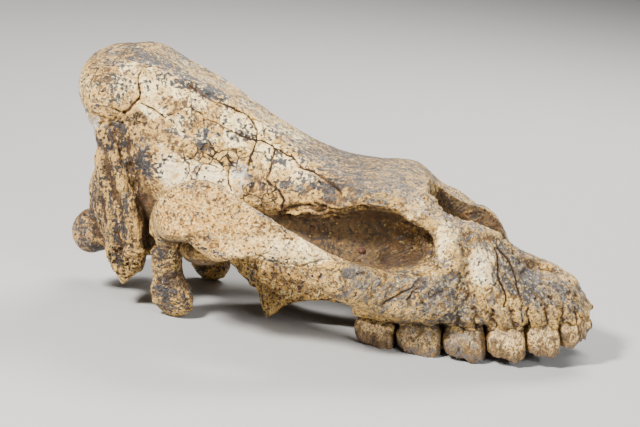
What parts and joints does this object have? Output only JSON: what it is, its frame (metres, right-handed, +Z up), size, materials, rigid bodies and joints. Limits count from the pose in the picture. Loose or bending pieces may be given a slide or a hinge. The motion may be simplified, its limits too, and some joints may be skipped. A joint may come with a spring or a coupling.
{
  "type": "fossil rhinoceros skull",
  "caption": "Fossil rhinoceros cranium without lower jaw, nose bones lost: high domed braincase, wide cheek arches and full rows of cheek teeth, lying on teeth and joint processes.",
  "frame": {"origin": "middle of the bounding box's base, on the floor the skull lies on", "axes": "+X towards the snout, +Y towards the skull's own left side, +Z up; the skull is pitched nose-up by its rest on the rear cheek teeth and the processes behind the jaw joints"},
  "size_m": [0.5854, 0.3438, 0.2751],
  "materials": {
    "braincase": "matte mineralised fossil bone",
    "frontal": "matte mineralised fossil bone",
    "jugal_left": "matte mineralised fossil bone",
    "jugal_right": "matte mineralised fossil bone",
    "maxilla_left": "matte mineralised fossil bone",
    "maxilla_right": "matte mineralised fossil bone",
    "occipital": "matte mineralised fossil bone",
    "pterygoid_left": "matte mineralised fossil bone",
    "pterygoid_right": "matte mineralised fossil bone",
    "skull_base": "matte mineralised fossil bone",
    "squamosal_left": "matte mineralised fossil bone",
    "squamosal_right": "matte mineralised fossil bone"
  },
  "bodies": {
    "root": {"braincase": "braincase", "frontal": "frontal", "jugal_left": "jugal_left", "jugal_right": "jugal_right", "maxilla_left": "maxilla_left", "maxilla_right": "maxilla_right", "occipital": "occipital", "pterygoid_left": "pterygoid_left", "pterygoid_right": "pterygoid_right", "skull_base": "skull_base", "squamosal_left": "squamosal_left", "squamosal_right": "squamosal_right"}
  },
  "joints": []
}
